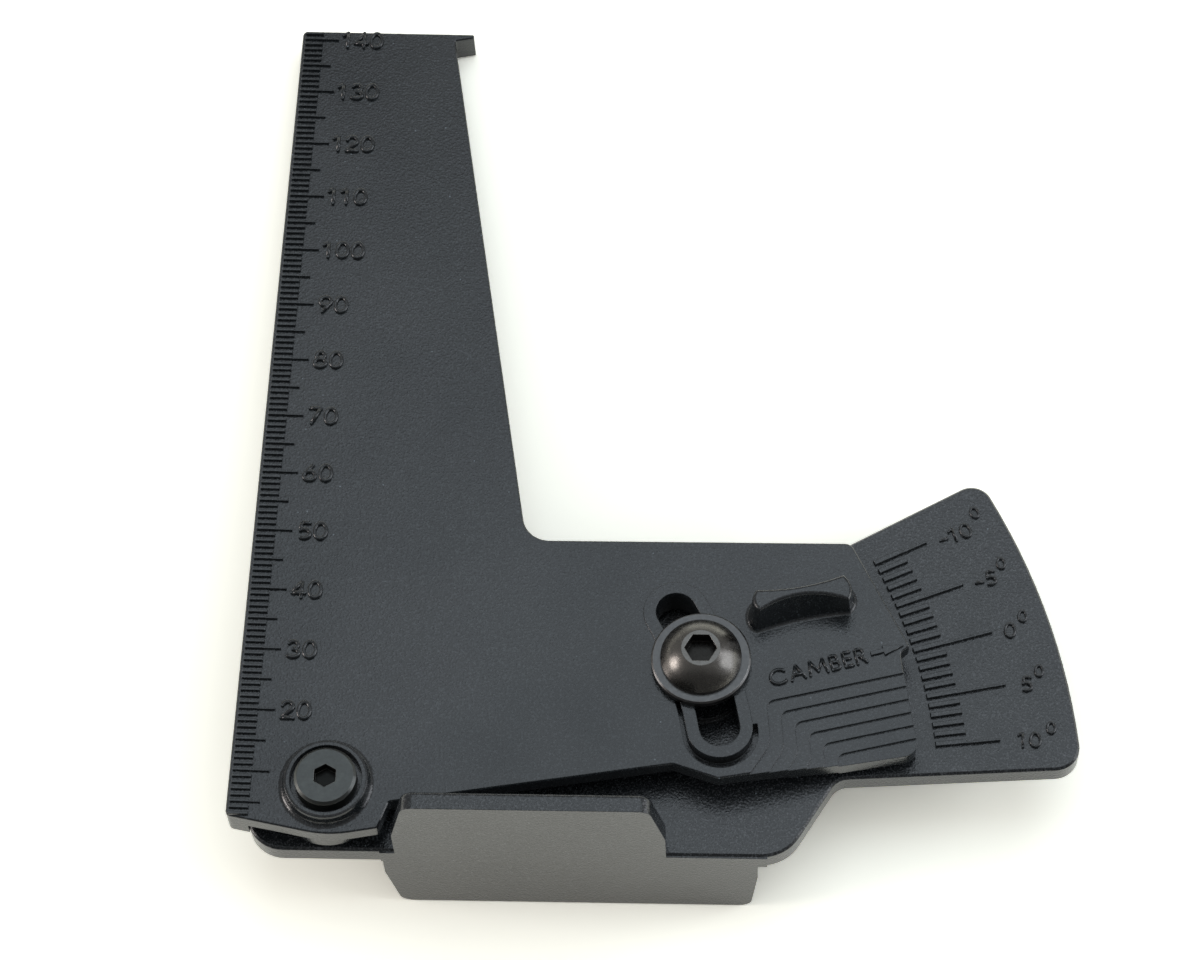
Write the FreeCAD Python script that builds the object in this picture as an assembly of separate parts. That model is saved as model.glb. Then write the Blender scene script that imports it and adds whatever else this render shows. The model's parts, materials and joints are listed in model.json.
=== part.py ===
import FreeCAD, Part
import math
import os

from FreeCAD import Vector as V

# Hand-held camber gauge for small model cars: a fan-shaped base plate that stands on a
# T-section foot, and an L-shaped measuring arm that swings on it about one screw and is
# clamped by a second screw in a curved slot.  Millimetres.
#
# Everything is drawn in the plate frame: origin on the pivot axis at the base plate's top
# face, +X along the foot, +Y up the ruler edge, +Z out of the plate.  The arm is drawn with
# its ruler edge along +Y (reading 0) and then turned to its set reading.  Last, the whole
# gauge is laid on a level surface, where the foot's back edge and the arm's far end rest.

# ---- placing ---------------------------------------------------------------------------
READING = 0.95            # degrees of camber the arm is set to (+ = pointer turned clockwise)
SCALE_RANGE = 10.0        # the scale runs from -10 to +10 degrees
SCALE_ZERO = 16.7         # direction of the scale's 0 line from +X, degrees

# ---- base plate ------------------------------------------------------------------------
PLATE_T = 3.5             # base plate thickness
BASE_EDGE_Y = -7.75       # straight lower edge of the base plate
BASE_LEFT_X = -12.3       # left end, round the pivot
BASE_HEAD_Y = 12.3        # upper edge of the part round the pivot
BASE_BACK_Y = 39.5        # upper edge of the part under the slot
BASE_BACK_X = 45.0        # its left end
BASE_BACK_R = 9.0         # its corner
BASE_LEFT_R = 5.6         # lower left corner
BASE_HEAD_R = 11.5        # upper left corner
BASE_NECK_X = 9.0         # where the plate widens behind the pivot
BASE_NECK_R = 8.0         # inside corners of the upper edge
FAN_R = 111.6             # outer arc, from the pivot axis
FAN_MARGIN = 3.05         # fan edge beyond the last scale line, degrees
FAN_TOP_R = 3.2           # corner of the arc with the upper edge
FAN_LOW_R = 3.8           # corner of the arc with the lower edge
STEP_X = 67.6             # where the lower edge turns up to the fan
STEP_ANGLE = 59.0         # slope of that step, degrees
STEP_OUT_R = 6.5          # its outside corner
STEP_IN_R = 3.0           # its inside corner
BASE_EDGE_EASE = 0.35     # eased upper edge of the plate

# ---- T-section foot --------------------------------------------------------------------
FOOT_T = 2.8              # wall thickness
SOLE_PROUD = 0.25         # sole stands this far below the plate's lower edge
SOLE_X0, SOLE_X1 = 7.6, 64.9          # sole band at the plate
UPPER_X0, UPPER_X1 = 9.9, 50.0        # wall above the plate, at its root
UPPER_H = 16.4            # its height above the plate's top face
UPPER_STRAIGHT = 6.2      # height up to which its ends are upright
UPPER_RAKE = 2.2          # how far each end leans in at the top
LOWER_X0, LOWER_X1 = 7.9, 63.5        # wall below the plate, at its root
LOWER_H = 15.1            # its depth below the plate's bottom face
LOWER_STRAIGHT = 4.0      # depth down to which its ends are upright
LOWER_RAKE = (1.8, 1.1)   # how far its left and right ends lean in at the bottom
FOOT_CORNER_R = 2.0       # corners of both walls
FOOT_EDGE_ROUND = 0.7     # round along the inner top edges of the walls
FOOT_ROOT_R = 1.0         # fillet between wall and plate

# ---- measuring arm ---------------------------------------------------------------------
ARM_GAP = 1.0             # running height of the arm's bosses above the base plate
ARM_DEPTH = 5.2           # from the arm's top face to the underside of its bosses
ARM_T = 2.6               # moulded wall
ARM_LEFT_X = -14.65       # ruler edge
ARM_TOP_LEN = 141.6       # ruler edge's far end, from the sole
ARM_TIP_X = 10.1          # right end of the far edge, where the tapered side starts
ARM_TAPER = 10.42         # tapered side, degrees from the ruler edge
ARM_BAR_Y = 41.35         # upper edge of the bar at the tapered side
ARM_ELBOW_R = 4.2         # inside corner of the L
# The right end of the arm is given from the lock screw's axis, so it moves with the slot.
ARM_SHOULDER = (21.61, 21.48)         # upper right corner of the bar
ARM_POINT = (30.61, 4.58)             # corner where the pointer ends
ARM_NOTCH = (29.31, 3.33)             # notch below the pointer
ARM_NOTCH_END = (29.66, 0.93)
ARM_CORNER = (32.31, -12.02)          # lower right corner
ARM_CORNER_R = 2.2
ARM_VEE = (2.86, -17.87)              # lowest point of the vee round the slot's end
ARM_VEE_START = (-3.99, -15.77)       # where the lower edge turns down into the vee
ARM_TOE = (9.3, -2.4)                 # step beside the foot
ARM_HEEL = (7.9, -6.6)
ARM_CHIN = (0.6, -8.05)               # shallow chin under the pivot
ARM_CHIN_R = 17.0
ARM_LOW_LEFT_Y = -5.25
ARM_EDGE_EASE = 0.2       # eased upper edge of the arm
EDGE_RIB_W = 3.2          # stiffening rib behind the ruler edge
EDGE_RIB_H = 5.0          # its depth from the top face
END_RIB_W = 1.3           # rib across the far end
END_LUG = 3.25            # how far that rib runs on past the tapered side, square to it

# ---- pivot -----------------------------------------------------------------------------
PIVOT_SHANK_R = 2.5
RUNNING_FIT = 0.04        # radial clearance of the arm on the pivot shank
SCREW_CLEARANCE = 0.1     # radial clearance of the screws in the base plate
BOSS_LOW_R = 7.5          # boss under the arm
PAD_R = 7.0               # raised pad on the base plate that each boss runs on
RIM_FOOT_R = 7.25         # foot of the concave fillet round the pivot rim
RIM_R = 6.3               # outside of the rim
RIM_H = 2.3               # its height above the arm's top face
RIM_ROUND = 0.45
COUNTERBORE_R = 5.35
COUNTERBORE_FLOOR = 0.6   # above the arm's top face
PIVOT_HEAD_R = 4.6
PIVOT_HEAD_H = 2.8
PIVOT_HEAD_CHAMFER = 0.4
THREAD_DEPTH = 0.4        # of both screws' threads, cut where they stand out of the nuts
PIVOT_HEX_AF = 3.2
PIVOT_HEX_DEPTH = 1.6

# ---- lock ------------------------------------------------------------------------------
LOCK_R = 58.5             # from the pivot axis to the lock screw
LOCK_ANGLE = 20.8         # direction of the lock screw from +X, degrees
LOCK_SHANK_R = 2.75
SLOT_PLAY = 0.3           # radial clearance of the lock shank in the slot
SLOT_EXTRA = -0.1         # slot end centres beyond the scale's ends, degrees
COLLAR_W = 1.85           # flat rim round the slot
COLLAR_PROUD = 0.25       # its height above the arm's top face
COLLAR_BACK_R = 6.4       # half width of the wall under the slot
RECESS_W = 0.7            # sunk border outside the rim, at the slot's lower end
RECESS_SHIFT = 0.85       # how far its end lies beyond the rim's end, degrees
RECESS_DEPTH = 2.0
RECESS_UP = 11.5          # how far it runs up the slot on its inner side, degrees
WASHER_R = 7.45
WASHER_T = 1.2
WASHER_CHAMFER = 0.25
WASHER_GAP = 0.05         # working clearance between washer and rim
LOCK_HEAD_R = 6.05
LOCK_HEAD_RIM = 0.55      # upright band at the foot of the domed head
LOCK_DOME_R = 6.9         # the dome, which gives the head's height
LOCK_TOP_R = 2.9          # flat round the hexagon
LOCK_HEX_AF = 4.25
LOCK_HEX_DEPTH = 2.2

# ---- nuts, held in pockets under the base plate ----------------------------------------
PIVOT_NUT_AF, PIVOT_NUT_H = 8.0, 4.0
LOCK_NUT_AF, LOCK_NUT_H = 9.0, 4.5
NUT_BORE_CLEARANCE = 0.03
NUT_SIDE_CLEARANCE = 0.1
POCKET_SINK = 1.0         # pocket floor above the plate's bottom face
POCKET_WALL = 1.9
SHANK_BEYOND_NUT = 1.0

# ---- stepped grip at the arm's lower right, from the lock screw's axis -------------------
STEPS = 6
STEP_DROP = 0.4           # each step down
STEP_PITCH = 2.04         # from line to line
STEP_LINE = (30.31, 0.23) # first line at the arm's right edge
STEP_SLOPE = 14.7         # slope of the lines, degrees
STEP_TURN_X = 9.61        # where the first line turns down
STEP_TURN_PITCH = 2.08
STEP_TURN_R = 1.3
STEP_BULGE = (10.31, -12.17)          # where the first line swings out again
STEP_BULGE_R = 4.0
STEP_BULGE_PITCH = (2.04, -0.45)
STEP_BULGE_TIGHTEN = 0.4  # each next bulge's radius is this much smaller
STEP_FOOT = (6.71, -18.17)            # where the first line leaves the arm
STEP_FOOT_PITCH = 2.62
STEP_OVER = 8.0           # how far the cuts run on past the arm's edges

# ---- finger ridge, from the lock screw's axis --------------------------------------------
RIDGE_H = 5.5
RIDGE_FOOT = ((7.71, 6.23), (14.91, 8.58), (21.61, 9.98))       # front face at its foot
RIDGE_LIP = ((8.31, 7.13), (15.01, 10.13), (21.41, 9.13))       # front face at its top
RIDGE_BACK = ((7.61, 10.53), (14.21, 11.33), (20.51, 13.43))    # back face at its top
RIDGE_DRAFT = 0.35        # how much wider the back and ends are at the foot
RIDGE_END_BOW = 0.8       # rounded ends
RIDGE_ROUND = 0.5
RIDGE_ROOT_R = 0.6        # fillet round its foot

SOLE_Y = BASE_EDGE_Y - SOLE_PROUD
ARM_TOP_Z = ARM_GAP + ARM_DEPTH
SLOT_HALF = LOCK_SHANK_R + SLOT_PLAY
SLOT_SPAN = SCALE_RANGE + SLOT_EXTRA
Z = V(0, 0, 1)


def polar(radius, degrees, z=0.0):
    a = math.radians(degrees)
    return V(radius * math.cos(a), radius * math.sin(a), z)


def slope_point(start, degrees, x):
    """Point at x on the line through start with the given slope."""
    return (x, start[1] + (x - start[0]) * math.tan(math.radians(degrees)))


def arc_edge(first, middle, last, z=0.0):
    return Part.Arc(V(*first, z), V(*middle, z), V(*last, z)).toShape()


def rounded_wire(corners, z=0.0):
    """Closed wire through corners (x, y, radius); a radius of 0 leaves the corner sharp."""
    joins = []
    count = len(corners)
    for i, (x, y, radius) in enumerate(corners):
        here = V(x, y, z)
        back = (V(corners[i - 1][0], corners[i - 1][1], z) - here).normalize()
        ahead = (V(corners[(i + 1) % count][0], corners[(i + 1) % count][1], z) - here).normalize()
        if radius <= 0:
            joins.append((here, None, here))
            continue
        half = back.getAngle(ahead) / 2
        run = radius / math.tan(half)
        bisector = (back + ahead).normalize()
        middle = here + bisector * (radius / math.sin(half) - radius)
        joins.append((here + back * run, middle, here + ahead * run))
    edges = []
    for i, (start, middle, end) in enumerate(joins):
        if middle is not None:
            edges.append(Part.Arc(start, middle, end).toShape())
        following = joins[(i + 1) % count][0]
        if end.distanceToPoint(following) > 1e-6:
            edges.append(Part.LineSegment(end, following).toShape())
    return Part.Wire(edges)


def slab(wire, z0, z1):
    """Solid between z0 and z1 over a closed wire drawn at z = 0."""
    face = Part.Face(wire)
    face.translate(V(0, 0, z0))
    return face.extrude(V(0, 0, z1 - z0))


def disc(radius, z0, z1, centre=V(0, 0, 0)):
    return Part.makeCylinder(radius, z1 - z0, V(centre.x, centre.y, z0))


def curved_slot(half, start, end, z0, z1):
    """Round-ended slot along the circle of radius LOCK_R, between two directions."""
    middle = (start + end) / 2
    inner, outer = LOCK_R - half, LOCK_R + half
    cap = math.degrees(half / LOCK_R)
    edges = [
        Part.Arc(polar(outer, start), polar(outer, middle), polar(outer, end)).toShape(),
        Part.Arc(polar(outer, end), polar(LOCK_R, end + cap), polar(inner, end)).toShape(),
        Part.Arc(polar(inner, end), polar(inner, middle), polar(inner, start)).toShape(),
        Part.Arc(polar(inner, start), polar(LOCK_R, start - cap), polar(outer, start)).toShape(),
    ]
    return slab(Part.Wire(edges), z0, z1)


def hexagon(across_flats, z0, z1, centre=V(0, 0, 0), turn=0.0):
    corner = across_flats / math.sqrt(3)
    points = [polar(corner, 60 * i + turn) + V(centre.x, centre.y, 0) for i in range(7)]
    return slab(Part.makePolygon(points), z0, z1)


def turned(profile, centre=V(0, 0, 0)):
    """Solid of revolution about Z from a closed list of edges drawn in the XZ plane."""
    solid = Part.Face(Part.Wire(profile)).revolve(V(0, 0, 0), Z, 360)
    solid.translate(V(centre.x, centre.y, 0))
    return solid


def line(a, b):
    return Part.LineSegment(V(a[0], 0, a[1]), V(b[0], 0, b[1])).toShape()


def bend(a, b, c):
    return Part.Arc(V(a[0], 0, a[1]), V(b[0], 0, b[1]), V(c[0], 0, c[1])).toShape()


def edges_at(shape, z, keep=lambda edge: True):
    """Edges that lie wholly at height z."""
    return [e for e in shape.Edges
            if abs(e.BoundBox.ZMin - z) < 1e-4 and abs(e.BoundBox.ZMax - z) < 1e-4 and keep(e)]


def to_reading(shape):
    shape.rotate(V(0, 0, 0), Z, -READING)
    return shape


def resting_tilt():
    """Slope of the line from the foot's back edge to the underside of the arm's far end."""
    foot_z = -(PLATE_T + LOWER_H)
    far_z = ARM_TOP_Z - EDGE_RIB_H
    return math.degrees(math.atan2(far_z - foot_z, ARM_TOP_LEN))


def lay_down(nodes):
    """Lay the gauge on its foot's back edge and far end, centred over the origin at z = 0."""
    placed = {}
    for name, shape in nodes.items():
        placed[name] = (shape.Solids[0] if len(shape.Solids) == 1 else shape).copy()
        placed[name].rotate(V(0, 0, 0), V(1, 0, 0), -resting_tilt())
    box = Part.makeCompound(list(placed.values())).optimalBoundingBox(False, False)
    for shape in placed.values():
        shape.translate(V(-box.Center.x, -box.Center.y, -box.ZMin))
    print("tilt %.4f shift %.4f %.4f %.4f" % (resting_tilt(), -box.Center.x, -box.Center.y, -box.ZMin))
    return placed


# ---- base ------------------------------------------------------------------------------
def fan_outline():
    upper = SCALE_ZERO + SCALE_RANGE + FAN_MARGIN
    lower = SCALE_ZERO - SCALE_RANGE - FAN_MARGIN
    shoulder_x = BASE_BACK_Y / math.tan(math.radians(upper))
    slope = math.tan(math.radians(STEP_ANGLE))
    rise = math.tan(math.radians(lower))
    step_x = (STEP_X * slope - BASE_EDGE_Y) / (slope - rise)
    far = FAN_R / math.cos(math.radians(SCALE_RANGE + FAN_MARGIN)) * 1.2
    top, low = polar(far, upper), polar(far, lower)
    return rounded_wire([
        (BASE_LEFT_X, BASE_EDGE_Y, BASE_LEFT_R),
        (STEP_X, BASE_EDGE_Y, STEP_OUT_R),
        (step_x, step_x * rise, STEP_IN_R),
        (low.x, low.y, 0),
        (top.x, top.y, 0),
        (shoulder_x, BASE_BACK_Y, BASE_NECK_R),
        (BASE_BACK_X, BASE_BACK_Y, BASE_BACK_R),
        (BASE_NECK_X, BASE_HEAD_Y, BASE_NECK_R),
        (BASE_LEFT_X, BASE_HEAD_Y, BASE_HEAD_R),
    ])


def corner_edges(shape, radius_from_pivot, upper):
    """Upright edges where the outer arc meets the fan's straight sides."""
    found = []
    for edge in shape.Edges:
        box = edge.BoundBox
        if box.ZLength < PLATE_T - 0.01 or box.XLength > 0.01 or box.YLength > 0.01:
            continue
        point = edge.Vertexes[0].Point
        if abs(math.hypot(point.x, point.y) - radius_from_pivot) < 0.01:
            is_upper = math.degrees(math.atan2(point.y, point.x)) > SCALE_ZERO
            if is_upper == upper:
                found.append(edge)
    return found


def fan_plate():
    plate = slab(fan_outline(), -PLATE_T, 0).common(disc(FAN_R, -PLATE_T, 0))
    plate = plate.makeFillet(FAN_TOP_R, corner_edges(plate, FAN_R, True))
    plate = plate.makeFillet(FAN_LOW_R, corner_edges(plate, FAN_R, False))
    return plate.makeChamfer(BASE_EDGE_EASE, edges_at(plate, 0))


def foot_wall(corners, y0, y1):
    """Wall with the outline corners (x, z, radius), between y0 and y1."""
    wire = rounded_wire(corners)
    wire.rotate(V(0, 0, 0), V(1, 0, 0), 90)
    wall = Part.Face(wire).extrude(V(0, y1 - y0, 0))
    wall.translate(V(0, y0, 0))
    return wall


def foot():
    inner = SOLE_Y + FOOT_T
    low = -(PLATE_T + LOWER_H)
    upper = foot_wall([
        (UPPER_X0, -PLATE_T / 2, 0), (UPPER_X1, -PLATE_T / 2, 0),
        (UPPER_X1, UPPER_STRAIGHT, 3), (UPPER_X1 - UPPER_RAKE, UPPER_H, FOOT_CORNER_R),
        (UPPER_X0 + UPPER_RAKE, UPPER_H, FOOT_CORNER_R), (UPPER_X0, UPPER_STRAIGHT, 3)],
        SOLE_Y, inner)
    lower = foot_wall([
        (LOWER_X0, -PLATE_T / 2, 0), (LOWER_X0, -PLATE_T - LOWER_STRAIGHT, 3),
        (LOWER_X0 + LOWER_RAKE[0], low, FOOT_CORNER_R),
        (LOWER_X1 - LOWER_RAKE[1], low, FOOT_CORNER_R),
        (LOWER_X1, -PLATE_T - LOWER_STRAIGHT, 3), (LOWER_X1, -PLATE_T / 2, 0)],
        SOLE_Y, inner)
    rounds = [(wall, z) for wall, z in ((upper, UPPER_H), (lower, low))]
    walls = []
    for wall, z in rounds:
        inner_edge = [e for e in wall.Edges if abs(e.BoundBox.YMin - inner) < 1e-4
                      and abs(e.BoundBox.YMax - inner) < 1e-4
                      and abs(e.BoundBox.ZMin) > PLATE_T and abs(e.BoundBox.ZMax) > PLATE_T / 2 + 0.1]
        walls.append(wall.makeFillet(FOOT_EDGE_ROUND, inner_edge))
    band = Part.makeBox(SOLE_X1 - SOLE_X0, FOOT_T / 2, PLATE_T - BASE_EDGE_EASE,
                        V(SOLE_X0, SOLE_Y, -PLATE_T))
    return walls + [band]


def root_fillet(x0, x1, z, side):
    """Concave fillet between the wall's inner face and the plate, above (1) or below (-1)."""
    y, r = SOLE_Y + FOOT_T, FOOT_ROOT_R
    s = 1 - math.sqrt(0.5)
    edges = [
        Part.LineSegment(V(x0, y - r, z - side * r), V(x0, y + r, z - side * r)).toShape(),
        Part.LineSegment(V(x0, y + r, z - side * r), V(x0, y + r, z)).toShape(),
        Part.Arc(V(x0, y + r, z), V(x0, y + r * s, z + side * r * s), V(x0, y, z + side * r)).toShape(),
        Part.LineSegment(V(x0, y, z + side * r), V(x0, y - r, z + side * r)).toShape(),
        Part.LineSegment(V(x0, y - r, z + side * r), V(x0, y - r, z - side * r)).toShape(),
    ]
    return Part.Face(Part.Wire(edges)).extrude(V(x1 - x0, 0, 0))


def lock_place():
    return polar(LOCK_R, LOCK_ANGLE)


def pocket_boss(across_flats, height, centre):
    """Boss under the plate that holds a nut."""
    radius = across_flats / math.sqrt(3) + POCKET_WALL
    return disc(radius, -PLATE_T - height + POCKET_SINK, -PLATE_T / 2, centre)


def base_plate():
    body = fan_plate()
    roots = [root_fillet(UPPER_X0 + FOOT_EDGE_ROUND, UPPER_X1 - FOOT_EDGE_ROUND, 0, 1),
             root_fillet(LOWER_X0 + FOOT_EDGE_ROUND, LOWER_X1 - FOOT_EDGE_ROUND, -PLATE_T, -1)]
    for piece in foot() + roots:
        body = body.fuse(piece)
    for centre, af, height in ((V(0, 0, 0), PIVOT_NUT_AF, PIVOT_NUT_H),
                               (lock_place(), LOCK_NUT_AF, LOCK_NUT_H)):
        body = body.fuse(disc(PAD_R, -PLATE_T / 2, ARM_GAP, centre))
        body = body.fuse(pocket_boss(af, height, centre))
    body = body.removeSplitter()
    for centre, af, height, shank in ((V(0, 0, 0), PIVOT_NUT_AF, PIVOT_NUT_H, PIVOT_SHANK_R),
                                      (lock_place(), LOCK_NUT_AF, LOCK_NUT_H, LOCK_SHANK_R)):
        below = -2 * (PLATE_T + height)
        body = body.cut(disc(shank + SCREW_CLEARANCE, below, 2 * ARM_GAP, centre))
        body = body.cut(hexagon(af + 2 * NUT_SIDE_CLEARANCE, below, -PLATE_T + POCKET_SINK, centre))
    return body


# ---- arm -------------------------------------------------------------------------------
def taper_x(y):
    far_y = SOLE_Y + ARM_TOP_LEN
    return ARM_TIP_X + (far_y - y) * math.tan(math.radians(ARM_TAPER))


def by_lock(point):
    """Point of the arm given from the lock screw's axis."""
    place = lock_place()
    return (place.x + point[0], place.y + point[1])


def arm_corners():
    far_y = SOLE_Y + ARM_TOP_LEN
    rib_y = far_y - END_RIB_W
    lug_y = rib_y + END_LUG * math.tan(math.radians(ARM_TAPER))
    return [
        (ARM_LEFT_X, ARM_LOW_LEFT_Y, 0.9),
        (*ARM_CHIN, ARM_CHIN_R),
        (*ARM_HEEL, 0.4),
        (*ARM_TOE, 0.5),
        (*by_lock(ARM_VEE_START), 1.0),
        (*by_lock(ARM_VEE), 0.6),
        (*by_lock(ARM_CORNER), ARM_CORNER_R),
        (*by_lock(ARM_NOTCH_END), 0.8),
        (*by_lock(ARM_NOTCH), 0.5),
        (*by_lock(ARM_POINT), 0.25),
        (*by_lock(ARM_SHOULDER), 1.6),
        (taper_x(ARM_BAR_Y), ARM_BAR_Y, ARM_ELBOW_R),
        (taper_x(rib_y), rib_y, 0.3),
        (ARM_TIP_X + END_LUG, lug_y, 0),
        (ARM_TIP_X + END_LUG, far_y, 0.3),
        (ARM_LEFT_X, far_y, 0.8),
    ]


def grip_region(i, z0, z1):
    """Area below the i-th step line: a sloping line that turns down to the lower edge."""
    start = (STEP_LINE[0], STEP_LINE[1] - i * STEP_PITCH)
    foot = (STEP_FOOT[0] + i * STEP_FOOT_PITCH, STEP_FOOT[1])
    bulge = (STEP_BULGE[0] + i * STEP_BULGE_PITCH[0], STEP_BULGE[1] + i * STEP_BULGE_PITCH[1])
    right = slope_point(start, STEP_SLOPE, start[0] + STEP_OVER)
    left = slope_point(start, STEP_SLOPE, STEP_TURN_X + i * STEP_TURN_PITCH)
    return slab(rounded_wire([
        (*by_lock(left), STEP_TURN_R),
        (*by_lock(bulge), STEP_BULGE_R - i * STEP_BULGE_TIGHTEN),
        (*by_lock(foot), 0),
        (*by_lock((foot[0], foot[1] - STEP_OVER)), 0),
        (*by_lock((right[0], foot[1] - STEP_OVER)), 0),
        (*by_lock(right), 0)]), z0, z1)


def slot_recess():
    """Sunk border round the slot's lower end, open along the slot's inner side."""
    low = LOCK_ANGLE - SLOT_SPAN
    half = SLOT_HALF + COLLAR_W + RECESS_W
    floor, over = ARM_TOP_Z - RECESS_DEPTH, ARM_TOP_Z + 1
    border = curved_slot(half, low - RECESS_SHIFT, low + RECESS_UP, floor, over)
    outer_side = slab(rounded_wire([
        (*polar(LOCK_R, low - 0.2)[:2], 0), (*polar(LOCK_R + 9, low - 0.2)[:2], 0),
        (*polar(LOCK_R + 9, low + RECESS_UP + 9)[:2], 0),
        (*polar(LOCK_R, low + RECESS_UP + 9)[:2], 0)]), floor - 1, over + 1)
    rim = curved_slot(SLOT_HALF + COLLAR_W, low, LOCK_ANGLE + SLOT_SPAN, floor - 1, over + 1)
    return border.cut(outer_side).cut(rim)


def pivot_rim():
    """Rim round the pivot head: concave foot, crown eased in two steps."""
    top = ARM_TOP_Z + RIM_H
    sweep = RIM_FOOT_R - RIM_R
    s = 1 - math.sqrt(0.5)
    inside = COUNTERBORE_R - 0.5
    return turned([
        line((inside, ARM_TOP_Z - 1), (RIM_FOOT_R, ARM_TOP_Z - 1)),
        line((RIM_FOOT_R, ARM_TOP_Z - 1), (RIM_FOOT_R, ARM_TOP_Z)),
        bend((RIM_FOOT_R, ARM_TOP_Z), (RIM_R + sweep * s, ARM_TOP_Z + sweep * s),
             (RIM_R, ARM_TOP_Z + sweep)),
        line((RIM_R, ARM_TOP_Z + sweep), (RIM_R, top - RIM_ROUND)),
        line((RIM_R, top - RIM_ROUND), (RIM_R - RIM_ROUND * s, top - RIM_ROUND * s)),
        line((RIM_R - RIM_ROUND * s, top - RIM_ROUND * s), (RIM_R - RIM_ROUND, top)),
        line((RIM_R - RIM_ROUND, top), (inside, top)),
        line((inside, top), (inside, ARM_TOP_Z - 1)),
    ])


def finger_ridge():
    """Scooped ridge for the finger, drawn between its foot and its narrower top."""
    wires = []
    for face, grow, z in ((RIDGE_FOOT, RIDGE_DRAFT, ARM_TOP_Z), (RIDGE_LIP, 0.0, ARM_TOP_Z + RIDGE_H)):
        front = [by_lock(point) for point in face]
        back = [by_lock((x, y + grow)) for x, y in RIDGE_BACK]
        left_end = ((front[0][0] + back[0][0]) / 2 - RIDGE_END_BOW - grow,
                    (front[0][1] + back[0][1]) / 2)
        right_end = ((front[2][0] + back[2][0]) / 2 + RIDGE_END_BOW + grow,
                     (front[2][1] + back[2][1]) / 2)
        wires.append(Part.Wire([
            arc_edge(*front, z), arc_edge(front[2], right_end, back[2], z),
            arc_edge(*back[::-1], z), arc_edge(back[0], left_end, front[0], z)]))
    ridge = Part.makeLoft(wires, True, True)
    ridge = ridge.makeFillet(RIDGE_ROUND, edges_at(ridge, ARM_TOP_Z + RIDGE_H))
    box = ridge.BoundBox
    around = 2 * RIDGE_ROOT_R
    bed = Part.makeBox(box.XLength + 2 * around, box.YLength + 2 * around, ARM_T / 2,
                       V(box.XMin - around, box.YMin - around, ARM_TOP_Z - ARM_T / 2))
    rooted = ridge.fuse(bed)
    foot = edges_at(rooted, ARM_TOP_Z, lambda e: e.BoundBox.XMin > box.XMin - around / 2
                    and e.BoundBox.XMax < box.XMax + around / 2)
    return rooted.makeFillet(RIDGE_ROOT_R, foot)


def measuring_arm():
    outline = rounded_wire(arm_corners())
    low, high = LOCK_ANGLE - SLOT_SPAN, LOCK_ANGLE + SLOT_SPAN
    under = ARM_TOP_Z - ARM_DEPTH
    far_y = SOLE_Y + ARM_TOP_LEN

    skin = slab(outline, ARM_TOP_Z - ARM_T, ARM_TOP_Z)
    skin = skin.makeChamfer(ARM_EDGE_EASE, edges_at(skin, ARM_TOP_Z))
    envelope = slab(outline, under, ARM_TOP_Z - ARM_T)

    def below(shape):
        return shape.common(envelope)

    rib_z = ARM_TOP_Z - EDGE_RIB_H
    arm = skin
    rib_len = 2 * ARM_TOP_LEN
    arm = arm.fuse(below(Part.makeBox(EDGE_RIB_W, rib_len, EDGE_RIB_H,
                                      V(ARM_LEFT_X, far_y - rib_len, rib_z))))
    arm = arm.fuse(below(Part.makeBox(ARM_TIP_X + END_LUG - ARM_LEFT_X, END_RIB_W, EDGE_RIB_H,
                                      V(ARM_LEFT_X, far_y - END_RIB_W, rib_z))))
    arm = arm.fuse(below(disc(BOSS_LOW_R, under, ARM_TOP_Z - ARM_T)))
    arm = arm.fuse(below(curved_slot(COLLAR_BACK_R, low, high, under, ARM_TOP_Z - ARM_T)))

    for i in range(STEPS):
        drop = STEP_DROP * i
        z = ARM_TOP_Z - ARM_T - drop
        arm = arm.fuse(below(grip_region(i, z - STEP_DROP, z)))
    for i in range(STEPS):
        drop = STEP_DROP * i
        cut_top = ARM_TOP_Z + 1 if i == 0 else ARM_TOP_Z - drop + 0.1
        arm = arm.cut(grip_region(i, ARM_TOP_Z - drop - STEP_DROP, cut_top))

    arm = arm.fuse(curved_slot(SLOT_HALF + COLLAR_W, low, high,
                               ARM_TOP_Z - ARM_T, ARM_TOP_Z + COLLAR_PROUD))
    arm = arm.cut(slot_recess())
    for piece in (pivot_rim(), finger_ridge()):
        arm = arm.fuse(piece)

    over = ARM_TOP_Z + RIM_H + RIDGE_H
    arm = arm.cut(curved_slot(SLOT_HALF, low, high, under - ARM_T, over))
    arm = arm.cut(disc(COUNTERBORE_R, ARM_TOP_Z + COUNTERBORE_FLOOR, over))
    arm = arm.fuse(disc(COUNTERBORE_R + RIM_ROUND / 2, ARM_TOP_Z - ARM_T / 2, ARM_TOP_Z + COUNTERBORE_FLOOR))
    arm = arm.cut(disc(PIVOT_SHANK_R + RUNNING_FIT, under - ARM_T, over))
    return to_reading(arm.removeSplitter())


# ---- fasteners -------------------------------------------------------------------------
def shank_tip(nut_h):
    return -PLATE_T + POCKET_SINK - nut_h - SHANK_BEYOND_NUT


def shank_profile(radius, nut_h, under):
    """Plain shank from the head down, and the thread's core below the nut."""
    tip = shank_tip(nut_h)
    core = radius - THREAD_DEPTH
    return [
        line((0, tip), (core, tip)),
        line((core, tip), (core, tip + SHANK_BEYOND_NUT)),
        line((core, tip + SHANK_BEYOND_NUT), (radius, tip + SHANK_BEYOND_NUT)),
        line((radius, tip + SHANK_BEYOND_NUT), (radius, under)),
    ]


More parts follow.
